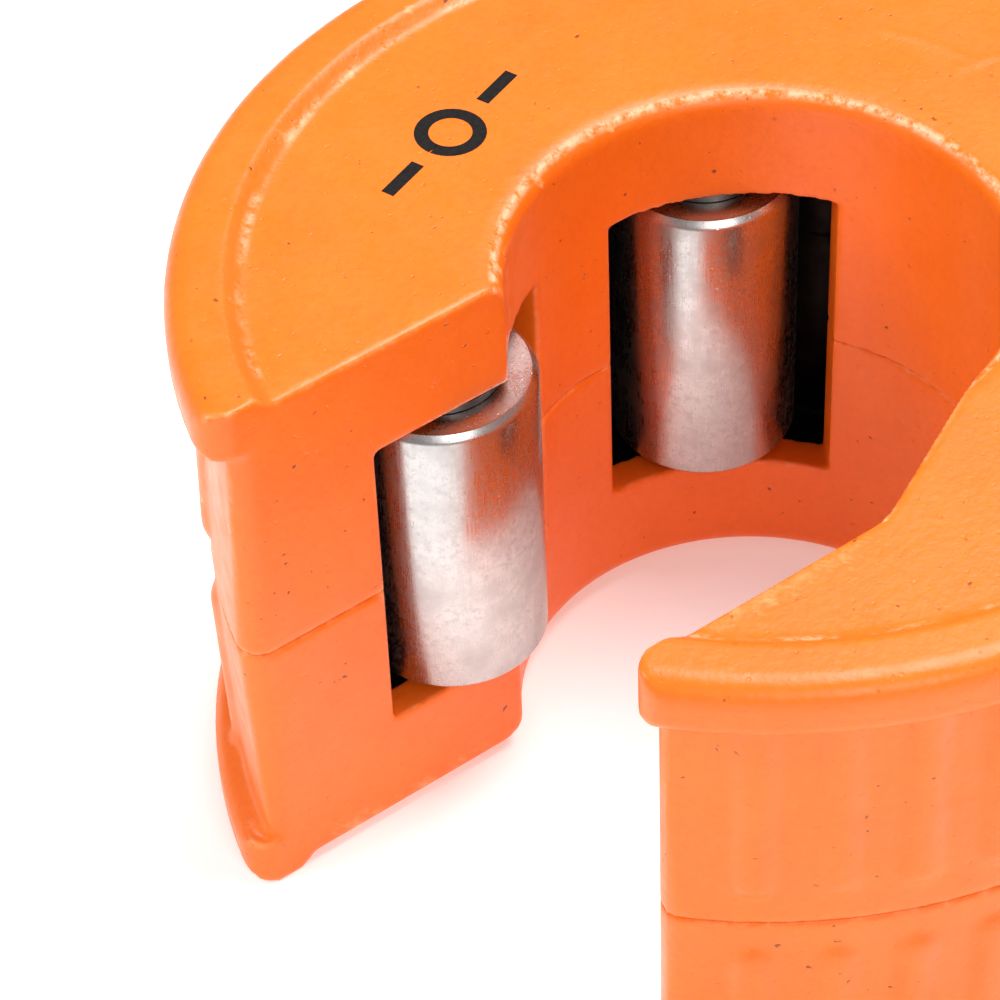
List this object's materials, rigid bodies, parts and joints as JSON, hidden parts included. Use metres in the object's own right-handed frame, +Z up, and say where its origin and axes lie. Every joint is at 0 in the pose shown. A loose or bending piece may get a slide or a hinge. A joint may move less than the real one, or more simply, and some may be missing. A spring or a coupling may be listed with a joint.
{
  "type": "pipe cutter",
  "caption": "C-shaped die-cast pipe cutter with a sprung cutting wheel and pressure rollers, clipped over a pipe and turned by hand.",
  "frame": {"origin": "on the pipe axis (the bore's centre), at the plane where the two shells meet", "axes": "+Z up along the pipe axis, the mouth of the C opens towards -Y, the cutting wheel is on the +X side and both rollers are on the -X side"},
  "size_m": [0.0586, 0.0574, 0.0344],
  "materials": {
    "orange_paint": "semi-gloss baked enamel on a die casting",
    "roller_steel": "satin, finely scratched",
    "pin_steel": "ground",
    "washer_steel": "plain, stamped",
    "carriage_metal": "dark, oiled",
    "blade_steel": "ground and polished",
    "spring_steel": "drawn wire",
    "screw_steel": "zinc plated"
  },
  "bodies": {
    "housing": {"upper_shell": "orange_paint", "lower_shell": "orange_paint", "mouth_roller_axle": "pin_steel", "rear_roller_axle": "pin_steel", "mouth_roller_upper_washer": "washer_steel", "mouth_roller_lower_washer": "washer_steel", "rear_roller_upper_washer": "washer_steel", "rear_roller_lower_washer": "washer_steel", "upper_carriage_spring": "spring_steel", "lower_carriage_spring": "spring_steel", "spring_backing_plate": "carriage_metal", "housing_screws": "screw_steel", "locating_dowels": "pin_steel"},
    "mouth_roller": {"mouth_roller": "roller_steel"},
    "rear_roller": {"rear_roller": "roller_steel"},
    "carriage": {"cutter_carriage": "carriage_metal", "cutter_wheel_axle": "pin_steel", "wheel_upper_washer": "washer_steel", "wheel_lower_washer": "washer_steel"},
    "cutter_wheel": {"cutter_wheel": "blade_steel"}
  },
  "joints": [
    {"name": "mouth_roller_spin", "type": "hinge", "parent": "housing", "child": "mouth_roller", "pos_m": [-0.00991, -0.01269, 0], "axis": [0, 0, 1], "continuous": true},
    {"name": "rear_roller_spin", "type": "hinge", "parent": "housing", "child": "rear_roller", "pos_m": [-0.01408, 0.00781, 0], "axis": [0, 0, 1], "continuous": true},
    {"name": "carriage_slide", "type": "slide", "parent": "housing", "child": "carriage", "axis": [0.9799, 0.1994, 0], "range_m": [0, 0.0032], "stiffness_N_per_m": 4000, "springref_m": -0.003, "deforming": ["upper_carriage_spring", "lower_carriage_spring"]},
    {"name": "cutter_wheel_spin", "type": "hinge", "parent": "carriage", "child": "cutter_wheel", "pos_m": [0.01548, 0.00315, 0], "axis": [0, 0, 1], "continuous": true}
  ]
}
